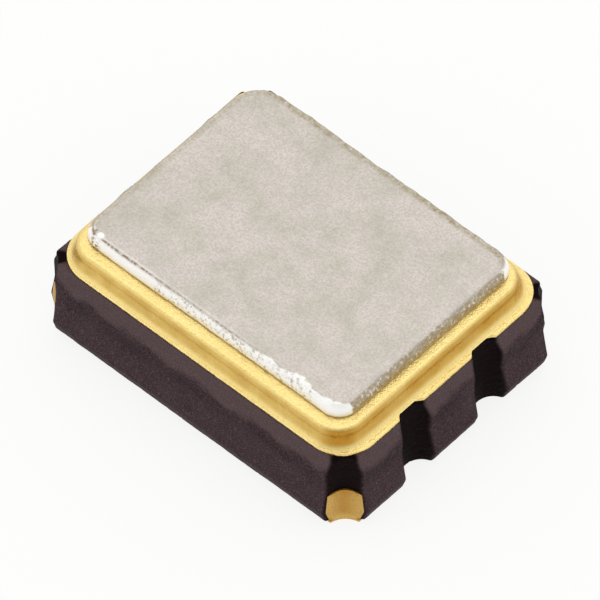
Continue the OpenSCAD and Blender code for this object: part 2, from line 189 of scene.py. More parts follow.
class FinishSettings(PropertyGroup):
    """Colours of the finishes"""

    ceramic: tone("Ceramic", "Broken walls of the ceramic", (0.040, 0.020, 0.026))
    ceramic_dark: tone("Dark ceramic", "Darker patches of the walls", (0.019, 0.008, 0.011))
    # The pale colour also paints a band at the foot of the walls, which is painted light from the
    # floor.
    ceramic_pale: tone("Pale ceramic", "Scored bands of the walls", (0.090, 0.058, 0.060))
    # The fired skin's colour is partly painted shade: its near-black also stands for the shade inside
    # the notches.
    ceramic_fired_and_shade: tone("Fired ceramic", "Fired skin of the ceramic", (0.005, 0.001, 0.001))
    ceramic_speck: tone("Ceramic specks", "Light specks of the walls", (0.15, 0.11, 0.11))
    gold: tone("Gold", "Gold plating", (0.95, 0.76, 0.315))
    gold_deep: tone("Deep gold", "Gold plating where it is thin", (0.86, 0.64, 0.22))
    gold_pit: tone("Gold pits", "Dark pits in the lands' plating", (0.35, 0.2, 0.08))
    # Painted shade: braze and deep braze darken the seal's gold in the braze's hollow, and the brown
    # braze colour adds a painted dark reflection round its (+X, -Y) corner. Elsewhere deep braze is
    # the seal's grain, braze the lands' mottle and the brown braze colour their tone.
    braze: tone("Braze", "Gold plating in the braze's hollow", (0.73, 0.51, 0.15))
    braze_deep: tone("Deep braze", "Browner patches of the hollow", (0.56, 0.34, 0.065))
    brown_tone_and_shade: tone("Brown braze", "The hollow round the (+X, -Y) corner", (0.50, 0.25, 0.03))
    nickel: tone("Nickel", "Matte nickel of the lid", (0.645, 0.59, 0.525))
    nickel_dark: tone("Dark nickel", "Darker grains of the lid", (0.37, 0.34, 0.30))
    nickel_green: tone("Greenish nickel", "Greenish clouds of the lid", (0.545, 0.515, 0.445))
    nickel_pink: tone("Pinkish nickel", "Pinkish clouds of the lid", (0.715, 0.65, 0.60))
    # The olive tint lies inside the bead along the lid's +Y side and, at half strength, its -X side.
    olive: tone("Olive", "Heat tint along the +Y and -X sides of the lid", (0.36, 0.31, 0.19))
    weld: tone("Weld", "Bright melted edge of the lid", (1.0, 0.985, 0.95))
    dull_weld: tone("Dull weld", "Melted edge where it is dull", (0.52, 0.455, 0.355))
    brown_weld: tone("Brown weld", "Brown patches of the dull edge", (0.36, 0.29, 0.19))
    # The scorch colour also paints the shadow in the seam under the lid's edge.
    scorch_and_shade: tone("Scorch", "Heat tint beside the weld", (0.30, 0.19, 0.10))


class StageSettings(PropertyGroup):
    """Camera, floor and light"""

    azimuth: turn("Azimuth", "Turn of the camera from looking along Y", 42.2)
    elevation: turn("Elevation", "Height of the camera over the horizon", 52.0)
    distance: length("Distance", "Distance of the camera from its target", 170)
    target_height: length("Target height", "Height of the point in mid picture", 0.42)
    field: length("Field", "Width of the picture at the target", 4.525)
    surroundings: level("Surroundings", "Light of the pale room", 1.0)
    camera_side: level("Camera side", "Light from round the camera", 0.7)
    high_softbox: level("High softboxes", "Light of the two high soft boxes", 1.0)
    left_softbox: level("Left softbox", "Light of the soft box to the left", 0.15)
    floor_glow: level("Floor glow", "Share of the floor that shows no shadow", 0.85)


SETTINGS = {
    "osc_base": BaseSettings,
    "osc_seal": SealSettings,
    "osc_lid": LidSettings,
    "osc_finish": FinishSettings,
    "osc_stage": StageSettings,
}


class Millimetres:
    """Reads the lengths of a settings group in millimetres."""

    def __init__(self, settings):
        self.settings = settings

    def __getattr__(self, name):
        return np.array(getattr(self.settings, name)) / MM


def box_mm(node):
    """Lowest and highest corner of a CAD node, in millimetres."""
    low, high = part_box(node)
    return np.array(low) / MM, np.array(high) / MM


def footprint(node):
    """Middle and half size of a CAD node's box seen from above, in millimetres."""
    low, high = box_mm(node)
    return (low + high)[:2] / 2, (high - low)[:2] / 2


# ---- Curves ----


def arc(centre, radius, start, end, count):
    """Points on a circle about centre, from one angle in degrees to another."""
    angle = np.radians(np.linspace(start, end, count))
    return np.array(centre) + radius * np.stack([np.cos(angle), np.sin(angle)], axis=1)


def soften(values, passes, axis, wrap):
    """Rounds polylines off: each pass moves every point halfway to its neighbours' middle.
    Without wrap the two ends stay where they are."""
    for _ in range(passes):
        moved = (np.roll(values, 1, axis) + 2 * values + np.roll(values, -1, axis)) / 4
        if not wrap:
            ends = [slice(None)] * values.ndim
            ends[axis] = [0, -1]
            moved[tuple(ends)] = values[tuple(ends)]
        values = moved
    return values


def resample(points, spacing):
    """Points at about equal spacing along a polyline, with its own first and last points."""
    steps = np.linalg.norm(np.diff(points, axis=0), axis=1)
    along = np.concatenate([[0], np.cumsum(steps)])
    places = np.linspace(0, along[-1], max(2, round(along[-1] / spacing) + 1))
    return np.stack([np.interp(places, along, column) for column in points.T], axis=1)


def smooth_step(value, start, end):
    """0 up to start, 1 from end, and the cubic 3 t^2 - 2 t^3 between them."""
    t = np.clip((value - start) / (end - start), 0, 1)
    return t * t * (3 - 2 * t)


def bell(value, middle, width):
    """The bell curve exp(-t^2) of the distance from middle, in widths."""
    return np.exp(-(((value - middle) / width) ** 2))


# Rough surfaces: longest and shortest wave in millimetres, number of waves and seed
WALL_WAVES = (0.6, 0.04, 70, 3)
CHIP_WAVES = (0.25, 0.03, 60, 8)
SCORE_WAVES = (0.5, 0.1, 40, 12)
RIM_WAVES = (1.2, 0.08, 50, 21)
WIDTH_WAVES = (0.5, 0.05, 50, 22)
DENT_WAVES = (0.08, 0.02, 90, 23)
SPREAD_WAVES = (0.3, 0.05, 50, 24)


def ripple(points, longest, shortest, count, seed):
    """The height of a rough surface at each point, between about -1 and 1: the sum of count
    sine waves in random directions, whose lengths lie evenly on a log scale between longest
    and shortest, and whose strengths are the square roots of their lengths."""
    random = np.random.default_rng(seed)
    wave = shortest * (longest / shortest) ** random.uniform(0, 1, count)
    heading = random.normal(size=(count, 3))
    heading /= np.linalg.norm(heading, axis=1, keepdims=True)
    phase = random.uniform(0, 2 * np.pi, count)
    strength = np.sqrt(wave) / np.linalg.norm(np.sqrt(wave))
    angle = points @ (heading / wave[:, None]).T * 2 * np.pi + phase
    return np.sin(angle) @ strength


# ---- Outlines of the package ----


def column(values):
    """Values as one column, to be set against a row of places."""
    return np.asarray(values, float).reshape(-1, 1)


def between(start, end, count):
    """Evenly spaced places from start up to but not including end, for each row."""
    return start + (end - start) * (np.arange(count) / count)[None, :]


def round_corner(inset, radius):
    """A quarter circle between two sides, as its distances from them at places from 0 to 1
    along it, and how far it reaches along them."""

    def corner(place):
        angle = place * np.pi / 2
        return inset + radius * (1 - np.cos(angle)), inset + radius * (1 - np.sin(angle))

    return corner, inset + radius


def notch_corner(centre, inset, radius):
    """The arc of a corner's notch between walls that lean in by inset, given as round_corner's
    is. The notch's centre is inside the widest lines by centre."""
    lean = np.arcsin((inset - centre) / radius)

    def corner(place):
        angle = lean + place * (np.pi / 2 - 2 * lean)
        return centre + radius * np.sin(angle), centre + radius * np.cos(angle)

    return corner, centre + radius * np.cos(lean)


class Plan:
    """Closed outlines seen from above, all with matching points.

    An outline runs anticlockwise from the start of the +X side. Each of its stretches has
    as many points in every outline, so any two outlines can be joined by quads. The
    methods take a value for each row and give an array of rows, columns and (x, y).
    """

    def __init__(self, context, spacing):
        base = Millimetres(context.scene.osc_base)
        self.half = box_mm("ceramic_base")[1][:2]
        self.corner = base.corner_notch
        self.insets = base.notch_insets
        self.side = base.side_notch
        self.pitch = base.side_pitch / 2
        # About how long the stretches are, with the notches' arcs as so many of their radii
        sizes = [
            self.half[1] - self.corner - self.pitch - self.side,
            2.6 * self.side,
            2 * (self.pitch - self.side),
            1.2 * self.corner,
            2 * (self.half[0] - self.corner),
        ]
        counts = [max(4, round(size / spacing)) for size in sizes]
        self.outer, self.hollow, self.middle, self.bend, self.long = counts
        ys = self.notched_side(column(0.0), column(self.side), self.corner, self.corner)[1]
        self.shares = ys / (self.half[1] - self.corner)

    def notched_side(self, inset, notch, start, end):
        """The +X side from -Y to +Y, as x and y for each row: flat stretches, and between them
        the arcs of the notches' circles that lie inside the wall. start and end are how far
        the corners reach along it."""
        x, y = self.half
        turn = np.arccos(inset / notch)
        gap = notch * np.sin(turn)
        angle = between(-turn, turn, self.hollow)
        flats = [
            between(start - y, -self.pitch - gap, self.outer),
            between(-self.pitch + gap, self.pitch - gap, self.middle),
            between(self.pitch + gap, y - end, self.outer),
        ]
        flat_x = [np.broadcast_to(x - inset, flat.shape) for flat in flats]
        arc_x = x - notch * np.cos(angle)
        arc_y = notch * np.sin(angle)
        xs = [flat_x[0], arc_x, flat_x[1], arc_x, flat_x[2]]
        ys = [flats[0], arc_y - self.pitch, flats[1], arc_y + self.pitch, flats[2]]
        return np.concatenate(xs, axis=1), np.concatenate(ys, axis=1)

    def close(self, x, y, side, corners, inset):
        """Makes whole outlines about a rectangle of half size (x, y). side gives the +X side
        from the reaches of its two corners, and corners holds the four, from (-X, -Y)
        anticlockwise. The second half is worked out as the first and turned half round."""
        halves = []
        for before, near, far in ((1, 2, 3), (3, 0, 1)):
            reach, far_reach = corners[near][1], corners[far][1]
            side_x, side_y = side(corners[before][1], reach)
            first = corners[near][0](between(0, 1, self.bend))
            second = corners[far][0](between(1, 0, self.bend))
            long_x = between(x - reach, far_reach - x, self.long)
            long_y = np.broadcast_to(y - inset, long_x.shape)
            xs = [side_x, x - first[0], long_x, second[0] - x]
            ys = [side_y, y - first[1], long_y, y - second[1]]
            halves.append(np.stack([np.concatenate(xs, 1), np.concatenate(ys, 1)], axis=-1))
        return np.concatenate([halves[0], -halves[1]], axis=1)

    def notched(self, inset, grow):
        """Outlines of the ceramic, whose walls lean in by inset and whose notches grow."""
        inset, grow = column(inset), column(grow)
        corners = [notch_corner(centre, inset, self.corner + grow) for centre in self.insets]

        def side(start, end):
            return self.notched_side(inset, self.side + grow, start, end)

        return self.close(*self.half, side, corners, inset)

    def banded(self, inset, notch, radius):
        """Outlines with round corners, cut by notches of the given radius."""
        inset, notch, radius = column(inset), column(notch), column(radius)

        def side(start, end):
            return self.notched_side(inset, notch, start, end)

        return self.close(*self.half, side, [round_corner(inset, radius)] * 4, inset)

    def rounded(self, half, radius, centre=(0, 0)):
        """Rectangles with round corners, from half sizes and corner radii."""
        radius = column(radius)
        half = np.asarray(half, float).reshape(-1, 2) + 0 * radius
        x, y = half[:, :1], half[:, 1:]

        def side(start, end):
            ys = self.shares * (y - radius)
            return np.broadcast_to(x, ys.shape), ys

        return self.close(x, y, side, [round_corner(0, radius)] * 4, 0) + np.array(centre)

    def point(self, centre=(0, 0)):
        """An outline shrunk to one point, which closes a surface."""
        return 0 * self.rounded([1, 1], 0.1) + np.array(centre)

    def in_notch(self):
        """1 for the columns inside a notch and 0 for the rest."""
        counts = [self.outer, self.hollow, self.middle, self.hollow, self.outer]
        counts += [self.bend, self.long, self.bend]
        inside = [0.0, 1.0, 0.0, 1.0, 0.0, 1.0, 0.0, 1.0]
        return np.tile(np.repeat(inside, counts), 2)


def outward(outline):
    """Unit outward directions of closed anticlockwise outlines: the chord between a point's
    two neighbours, turned clockwise by a quarter."""
    chord = np.roll(outline, -1, axis=-2) - np.roll(outline, 1, axis=-2)
    across = np.stack([chord[..., 1], -chord[..., 0]], axis=-1)
    return across / np.maximum(np.linalg.norm(across, axis=-1, keepdims=True), 1e-12)


def lift(outline, height):
    """Puts heights on outlines, to give an array of rows, columns and (x, y, z)."""
    heights = np.broadcast_to(height, outline.shape[:2])
    return np.concatenate([outline, heights[..., None]], axis=-1)


# The share of painted shade in the hollow away from the +X side, and of the browner painted shade
# on that side. The direction of the (+X, -Y) corner, and the cosines to it at which the painted dark
# reflection there starts and is full
HOLLOW_SHARE = 0.85
BROWN_SHARE = 0.28
BROWN_HEADING = np.array([0.7071, -0.7071])
BROWN_COSINES = (0.78, 1.0)


def seal_masks(points, hollow):
    """Masks of a carried surface of the seal: the hollow, which is strongest on the +X side,
    and its brown at the (+X, -Y) corner and on the +X side."""
    normal = outward(points[..., :2])
    corner = smooth_step(normal @ BROWN_HEADING, *BROWN_COSINES)
    right = np.clip(normal[..., 0], 0, 1)
    return {
        "hollow": hollow * (HOLLOW_SHARE + (1 - HOLLOW_SHARE) * right),
        "brown": hollow * np.maximum(corner, BROWN_SHARE * right),
    }


def carried(plan, seal, section):
    """Carries a section of (outwards, height) round the ring's rectangle. A point that is
    outwards by d gets the rectangle offset by d, whose corner radius grows by d too."""
    middle, half = footprint("seal_ring")
    out, heights = section.T
    radius = np.maximum(seal.ring_corner + out, seal.ring_inner_corner)
    return lift(plan.rounded(half + out[:, None], radius, middle), heights[:, None])


# ---- Meshes ----


def grid_faces(rows, columns, closed):
    """Quads between neighbouring points of a grid whose columns wrap round, as its rows do
    if it is closed. Where rows go up and columns anticlockwise, the quads face outwards."""
    row, place = np.meshgrid(
        np.arange(rows if closed else rows - 1), np.arange(columns), indexing="ij"
    )
    next_row, next_place = (row + 1) % rows, (place + 1) % columns
    corners = [
        row * columns + place,
        row * columns + next_place,
        next_row * columns + next_place,
        next_row * columns + place,
    ]
    return np.stack(corners, axis=-1).reshape(-1, 4)


# Edges over this many degrees stay sharp, and points this close in millimetres are merged
SHARP = 40
MERGE = 1e-5


def make_piece(name, grids, material, node, masks):
    """Makes one piece from closed grids of points in millimetres, merges its doubles and lets
    it stand for a CAD node. Each grid comes with whether its rows close too. masks maps the
    name of a point attribute to its values."""
    faces, start = [], 0
    for points, closed in grids:
        faces.append(grid_faces(*points.shape[:2], closed) + start)
        start += points.shape[0] * points.shape[1]
    points = np.concatenate([points.reshape(-1, 3) for points, _ in grids])
    mesh = bpy.data.meshes.new(name)
    mesh.from_pydata(points * MM, [], np.concatenate(faces))
    for mask, values in masks.items():
        attribute = mesh.attributes.new(mask, "FLOAT", "POINT")
        attribute.data.foreach_set("value", values.astype(np.float32).ravel())
    work = bmesh.new()
    work.from_mesh(mesh)
    bmesh.ops.remove_doubles(work, verts=work.verts, dist=MERGE * MM)
    bmesh.ops.recalc_face_normals(work, faces=work.faces)
    work.to_mesh(mesh)
    work.free()
    mesh.polygons.foreach_set("use_smooth", np.full(len(mesh.polygons), True))
    mesh.set_sharp_from_angle(angle=math.radians(SHARP))
    mesh.materials.append(material)
    piece = bpy.data.objects.new(name, mesh)
    bpy.context.scene.collection.objects.link(piece)
    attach(piece, "root")
    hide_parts(node)


# ---- Ceramic base ----


# How far the walls' surface runs in over the underside and the top, and how far inside the
# corner notches their flat middles start
LIP = 0.03
FLAT_MARGIN = 0.045
# Heights of the rough surface at which a chip starts and is full, and its reach from an edge
CHIP_LEVELS = (0.9, 1.8)
CHIP_REACH = 0.05
# Depths under the top between which the pale of the upper score ends, and between which the
# fainter pale of the snapped wall comes up. How far they wander, and the height of the pale band
# at the foot, which is painted light from the floor below
SCORE_END = (0.11, 0.19)
SNAP_START = (0.28, 0.4)
SNAP_PALE = 0.3
SCORE_WANDER = 0.02
FOOT_PALE = 0.03


def wall_section(base, bottom, top):
    """The snapped wall from the underside to the top, as lean, height and growth of the
    notches. It starts and ends a lip's width in from the edges."""
    return np.array(
        [
            [base.foot_inset + LIP, bottom, LIP],
            [base.foot_inset, bottom, 0],
            [0, bottom + base.foot_bevel, 0],
            [base.waist_inset, bottom + base.waist_height, 0],
            [base.shoulder_inset, top - base.shoulder_drop, 0],
            [base.top_inset, top - base.top_score, 0],
            [base.top_inset, top, 0],
            [base.top_inset + LIP, top, LIP],
        ]
    )


def wall_lean(base, bottom, top, heights):
    """How far the wall leans in at the given heights."""
    section = wall_section(base, bottom, top)[1:-1]
    return np.interp(heights, section[:, 1], section[:, 0])


def edge_mask(heights, edges, width):
    """1 at the heights in edges, falling to 0 at width from them."""
    gaps = np.abs(heights[:, None] - np.array(edges)[None, :]).min(axis=1)
    return 1 - smooth_step(gaps, 0, width)


def cavity_rows(plan, base):
    """The stepped cavity from its opening down to the middle of the chip's pit."""
    top = box_mm("ceramic_base")[1][2]
    chip_low, chip_high = box_mm("oscillator_die")
    floor = box_mm("die_pad")[0][2]
    shelf = box_mm("bond_finger_1")[0][2]
    ledge = box_mm("crystal_pad_1")[0][2]
    cavity = box_mm("quartz_blank")[1][:2] + base.crystal_gap
    chip = footprint("oscillator_die")[0]
    pit = (chip_high - chip_low)[:2] / 2 + base.pit_gap
    opening = plan.rounded(cavity, base.cavity_corner)
    shelf_plan = opening.copy()
    shelf_plan[..., 0] = np.maximum(opening[..., 0], base.ledge_length - cavity[0])
    pit_plan = plan.rounded(pit, 0.0, chip)
    return [
        lift(opening, top),
        lift(opening, ledge),
        lift(shelf_plan, ledge),
        lift(shelf_plan, shelf),
        lift(pit_plan, shelf),
        lift(pit_plan, floor),
        lift(plan.point(chip), floor),
    ]


def build_base(context):
    """The ceramic base as one closed surface: outlines of the snapped walls and their eight
    notches at each height, closed by the underside and by the top with its stepped cavity.
    The broken walls are pushed in by a rough surface's height, and their edges chip."""
    base = Millimetres(context.scene.osc_base)
    plan = Plan(context, base.spacing)
    low, high = box_mm("ceramic_base")
    bottom, top = low[2], high[2]
    section = soften(resample(wall_section(base, bottom, top), base.spacing), 2, 0, False)
    inset, heights, grow = section.T
    outline = soften(plan.notched(inset, grow), 3, 1, True)
    walls = lift(outline, heights[:, None])
    in_notch = soften(plan.in_notch()[None, :], 2, 1, True)
    rough = 0.5 + 0.5 * np.clip(ripple(walls, *WALL_WAVES), -1, 1)
    edges = [bottom, bottom + base.foot_bevel, top]
    chips = smooth_step(ripple(walls, *CHIP_WAVES), *CHIP_LEVELS)
    chips = chips * edge_mask(heights, edges, CHIP_REACH)[:, None]
    depth = base.unevenness * rough * (1 - in_notch) + base.chip_depth * chips
    walls[..., :2] -= depth[..., None] * outward(outline)
    plain = plan.rounded(plan.half - base.corner_notch - FLAT_MARGIN, base.spacing)
    under = [lift(plan.point(), bottom), lift(plain, bottom)]
    inner = [lift(plain, top)] + cavity_rows(plan, base)
    points = np.concatenate(under + [walls] + inner)
    depth = (top - heights)[:, None] + SCORE_WANDER * ripple(walls, *SCORE_WAVES)
    scored_and_foot_light = 1 - smooth_step(depth, *SCORE_END) + SNAP_PALE * smooth_step(depth, *SNAP_START)
    # Painted light: the pale band at the foot stands for light thrown up by the floor.
    scored_and_foot_light = np.maximum(scored_and_foot_light, edge_mask(heights, [bottom], FOOT_PALE)[:, None])
    pale = np.zeros(points.shape[:2])
    pale[len(under) : len(under) + len(walls)] = scored_and_foot_light
    # The notches take the fired skin's colour, which there is partly painted shade.
    fired = np.ones(points.shape[:2])
    fired[len(under) : len(under) + len(walls)] = in_notch
    material = named_material("Black ceramic", fill_ceramic, context.scene.osc_finish)
    masks = {"fired": fired, "pale": pale}
    grids = [(points, False)]
    make_piece("ceramic_body", grids, material, "ceramic_base", masks)


# ---- Solder terminals ----


def land_outline(base, notch, centre, has_index):
    """Outline of a corner land, as offsets from the nominal corner (+X, +Y): a rectangle with
    round corners, whose outer corner is the arc of the plated notch."""
    edge = base.land_edge
    far = edge + base.land_size
    radius = base.land_corner
    cut = math.degrees(math.asin((edge - centre) / notch))
    if has_index:
        inner = np.array([[base.index_chamfer, 0], [0, base.index_chamfer]]) - far
        inner = inner[::-1]
    else:
        inner = arc(radius - far, radius, 180, 270, 9)
    pieces = [
        inner,
        arc([-edge - radius, radius - far[1]], radius, 270, 360, 9),
        arc([-centre, -centre], notch, 270 - cut, 180 + cut, 17),
        arc([radius - far[0], -edge - radius], radius, 90, 180, 9),
    ]
    return np.concatenate(pieces)


def capped(points):
    """Closes a strip of wrapped rows by shrinking its first and last rows to their middles."""
    ends = points[[0, -1]].mean(axis=1, keepdims=True) + 0 * points[[0, -1]]
    return np.concatenate([ends[:1], points, ends[1:]])


def plate(outline, bottom, top, bevel):
    """A flat plate with this outline and small bevels, as rows from its bottom's middle round
    its edge to its top's middle. The bevels shrink the outline towards that middle."""
    middle = (outline.max(axis=0) + outline.min(axis=0)) / 2
    reach = np.abs(outline - middle).max()
    shrunk = middle + (outline - middle) * (1 - bevel / reach)
    centre = 0 * outline + middle
    rows = [centre, shrunk, outline, outline, shrunk, centre]
    heights = [bottom, bottom, bottom + bevel, top - bevel, top, top]
    return lift(np.stack(rows), column(heights))


# Points along the lining's arc and up its wall, and the share of its height that its arch
# falls towards its ends. Its thickness at those ends, as a share, and the share of the arc over
# which it thins. Its clearance from the wall, and the share of the arc left bare at each end at
# the foot and at the top
LINING_POINTS = (25, 15)
ARCH_FALL = 0.10
THIN_END = 0.1
THIN_REACH = 0.15
WALL_CLEARANCE = 0.004
BARE_ENDS = (0.10, 0.05)
# The brown of the lands and linings: everywhere, more along the notch's middle, whose width
# and start come next, and more over the height at which the lining's top starts. The brown of
# the test lands
SHADE = 0.4
SHADE_MIDDLE = 0.45
MIDDLE_WIDTH = 0.12
MIDDLE_START = (0.03, 0.1)
SHADE_TOP = 0.15
TOP_START = 0.26
TEST_LAND_SHADE = 0.2


def lining(base, notch, centre, bottom, height):
    """The plating up a corner notch, as offsets from the nominal corner: a thin wall on the
    notch's arc, whose top edge is a shallow arch and which thins out towards its upright
    edges. Columns go round the wall's own section and rows along the arc, from one end's
    middle to the other's."""
    low, high = box_mm("ceramic_base")
    along, up = LINING_POINTS
    share = np.linspace(0, 1, along)[:, None]
    arch = height * (1 - ARCH_FALL * (2 * share - 1) ** 2)
    rise = np.linspace(0, 1, up)
    climb = np.concatenate([rise, rise[::-1]])[None, :]
    inside = np.repeat([1.0, 0.0], up)[None, :]
    full = smooth_step(np.minimum(share, 1 - share), 0, THIN_REACH)
    face = notch - base.plating * (THIN_END + (1 - THIN_END) * full) * inside
    z = bottom + (arch - bottom) * climb
    clear = wall_lean(base, low[2], high[2], z) + WALL_CLEARANCE
    lean = np.arcsin((clear - centre) / face)
    foot, top = BARE_ENDS
    bare = foot + (top - foot) * climb
    angle = lean + (bare + share * (1 - 2 * bare)) * (np.pi / 2 - 2 * lean)
    points = np.stack([-face * np.sin(angle), -face * np.cos(angle), z], axis=-1)
    points[..., :2] -= centre
    return capped(points)


def build_terminals(context):
    """The four terminals: each is a land under a corner and the plating up its notch. They
    are worked out for the (+X, +Y) corner and mirrored to the others."""
    base = Millimetres(context.scene.osc_base)
    half = box_mm("ceramic_base")[1][:2]
    land_top = box_mm("ceramic_base")[0][2]
    material = named_material("Land gold", fill_land_gold, context.scene.osc_finish)
    for index in range(1, 5):
        node = f"terminal_{index}"
        low, high = box_mm(node)
        side = np.array([np.sign(low[0]), np.sign(low[1]), 1])
        centre = base.notch_insets[index - 1]
        outline = land_outline(base, base.corner_notch - base.plating, centre, index == 1)
        land = plate(outline, 0.0, land_top, base.land_bevel)
        wall = lining(base, base.corner_notch, centre, land_top - WALL_CLEARANCE, high[2])
        grids, shades = [], []
        for points in (land, wall):
            placed = points.copy()
            placed[..., :2] += half
            grids.append((placed * side, False))
            middle = bell(points[..., 0], points[..., 1], MIDDLE_WIDTH)
            middle = middle * smooth_step(points[..., 2], *MIDDLE_START)
            top = smooth_step(points[..., 2], TOP_START, high[2])
            shades.append((SHADE + SHADE_MIDDLE * middle + SHADE_TOP * top).ravel())
        masks = {"shade": np.concatenate(shades)}
        make_piece(f"gold_terminal_{index}", grids, material, node, masks)


def build_test_lands(context):
    """The four test lands round the side notches: each is carried along the notch's arc, from
    that arc out to a rectangle."""
    base = Millimetres(context.scene.osc_base)
    half = box_mm("ceramic_base")[1][:2]
    edge = base.land_edge
    bite = base.side_notch + base.test_land_gap
    cut = math.degrees(math.acos(edge / bite))
    inner = arc([0, 0], bite, 180 + cut, 180 - cut, 33)
    material = named_material("Land gold", fill_land_gold, context.scene.osc_finish)
    for index in range(1, 5):
        node = f"test_land_{index}"
        low, high = box_mm(node)
        side = np.array([np.sign(low[0]), np.sign(low[1]), 1])
        wide = (high[1] - low[1]) / 2
        far = half[0] - min(abs(low[0]), abs(high[0]))
        path = [[-edge, -wide], [-far, -wide], [-far, wide], [-edge, wide]]
        steps = np.linalg.norm(np.diff(path, axis=0), axis=1)
        along = np.concatenate([[0], np.cumsum(steps)]) / steps.sum()
        share = np.linspace(0, 1, len(inner))
        outer = np.stack([np.interp(share, along, values) for values in np.transpose(path)], 1)
        outer = soften(outer, 2, 0, False)
        rings = [(inner, low[2]), (outer, low[2]), (outer, high[2]), (inner, high[2])]
        points = [lift(line[:, None], height) for line, height in rings]
        points = capped(np.concatenate(points, axis=1))
        points[..., :2] += [half[0], base.side_pitch / 2]
        masks = {"shade": np.full(points.shape[:2], TEST_LAND_SHADE)}
        grids = [(points * side, False)]
        make_piece(f"gold_test_land_{index}", grids, material, node, masks)


# ---- Seal ----


# The share of painted shade on the band beside the ring, and the depths under the ring's top
# between which the painted shade on the ring's face ends. The 2 / n of the fillet's superellipse,
# and the shares of the fillet's width between which the painted shade in its hollow ends
BAND_HOLLOW = 0.45
RING_CLIMB = (0.022, 0.001)
FILLET_CURVE = 2 / 1.7
FILLET_FADE = (0.2, 0.7)


def make_seal(context, name, points, node, masks):
    """Makes a piece of the seal from a closed section that is carried round the package."""
    material = named_material("Seal gold", fill_seal_gold, context.scene.osc_finish)
    make_piece(name, [(points, True)], material, node, masks)


def build_band(context):
    """The metal band on the ceramic: a flat frame whose outer edge is a small quarter circle
    and follows the side notches."""
    base = Millimetres(context.scene.osc_base)
    seal = Millimetres(context.scene.osc_seal)
    plan = Plan(context, base.spacing)
    low, high = box_mm("seal_band")
    bend = arc([seal.band_edge, high[2] - seal.band_edge], seal.band_edge, 180, 90, 5)
    back = np.concatenate([[0.0], bend[:, 0]])
    heights = np.concatenate([[low[2]], bend[:, 1]])
    inset = plan.half[0] - high[0]
    notch = plan.side + seal.notch_gap + back
    outer = soften(plan.banded(inset + back, notch, seal.band_corner - back), 3, 1, True)
    cavity = box_mm("quartz_blank")[1][:2] + base.crystal_gap + seal.inner_margin
    inner = plan.rounded(cavity, base.cavity_corner)
    ring_middle, ring_half = footprint("seal_ring")
    middle = plan.rounded(ring_half, seal.ring_corner, ring_middle)
    rows = [
        lift(outer, heights[:, None]),
        lift(middle, high[2]),
        lift(inner, high[2]),
        lift(inner, low[2]),
        lift(middle, low[2]),
    ]
    points = np.concatenate(rows)
    # Painted shade: the band is darkened beside the ring, where the ring shades it.
    painted_shade_near_ring = np.concatenate([0 * heights, [BAND_HOLLOW, BAND_HOLLOW, 0, 0]])
    hollow = column(painted_shade_near_ring) + 0 * points[..., 2]
    masks = {"hollow": hollow, "brown": 0 * hollow}
    make_seal(context, "gold_band", points, "seal_band", masks)


def build_ring(context):
    """The ring: a rectangular rail with a round outer shoulder, carried round the package."""
    seal = Millimetres(context.scene.osc_seal)
    plan = Plan(context, Millimetres(context.scene.osc_base).spacing)
    low, high = box_mm("seal_ring")
    shoulder, rounding = seal.ring_shoulder, seal.ring_rounding
    section = np.concatenate(
        [
            [[-seal.ring_width, low[2]], [0, low[2]]],
            arc([-shoulder, high[2] - shoulder], shoulder, 0, 90, 11),
            arc([rounding - seal.ring_width, high[2] - rounding], rounding, 90, 180, 4),
        ]
    )
    points = carried(plan, seal, section)
    # Painted shade: the ring's outer face is darkened up to just under its top.
    start, end = high[2] - np.array(RING_CLIMB)
    climb = smooth_step(points[..., 2], start, end)
    masks = seal_masks(points, (1 - climb) * (section[:, :1] > -shoulder))
    make_seal(context, "gold_ring", points, "seal_ring", masks)


def build_braze(context):
    """The braze: a thin layer under the ring that climbs its outer face in a hollow curve, a
    quarter of the superellipse a^1.7 + b^1.7 = 1 between its toe and its top."""
    seal = Millimetres(context.scene.osc_seal)
    plan = Plan(context, Millimetres(context.scene.osc_base).spacing)
    bottom = box_mm("braze_joint")[0][2]
    ring_bottom = box_mm("seal_ring")[0][2]
    width, height, toe = seal.fillet_width, seal.fillet_height, seal.fillet_toe
    turn = np.linspace(0, np.pi / 2, 17)
    hollow_out = toe + (width - toe) * (1 - np.sin(turn) ** FILLET_CURVE)
    hollow_z = bottom + toe + (height - toe) * (1 - np.cos(turn) ** FILLET_CURVE)
    section = np.concatenate(
        [
            [[-seal.ring_width, bottom], [width, bottom]],
            np.stack([hollow_out, hollow_z], axis=1),
            [[0, bottom + height], [0, ring_bottom], [-seal.ring_width, ring_bottom]],
        ]
    )
    points = carried(plan, seal, section)
    # Painted shade: the fillet is darkened next to the ring, fading out towards its toe.
    start, end = width * np.array(FILLET_FADE)
    hollow = 1 - smooth_step(section[:, :1], start, end) + 0 * points[..., 2]
    make_seal(context, "gold_braze", points, "braze_joint", seal_masks(points, hollow))


# ---- Lid ----


# How brightly the weld shines on the -Y and +X sides, and for three corners how far its patch
# reaches along X and Y, and the shares of that reach between which it fades
WELD_SIDES = (0.6, 0.12)
WELD_PATCHES = {(-1, -1): (0.85, 0.08), (1, -1): (0.33, 0.15), (1, 1): (0.1, 0.16)}
PATCH_FADE = (0.75, 1.15)
# The bevel under the rim, the 2 / n of the bead's superellipse, the length of the slope and the
# part of it that falls. The bead's width as shares of its size: where the weld is weak, and what
# its strength adds. How widely the blunt corner spreads round the edge, and by which share it
# shortens the slope. Where along X the bead starts to spread and has spread, and the share by
# which that varies
UNDERCUT = 0.008
BEAD_CURVE = 1.4
SLOPE_LENGTH = 0.11
FALL_LENGTH = 0.02
BEAD_SHARES = (0.85, 0.25)
BLUNT_REACH = 0.19
BLUNT_SQUEEZE = 0.65
SPREAD_START = (0.3, 0.9)
SPREAD_WANDER = 0.5
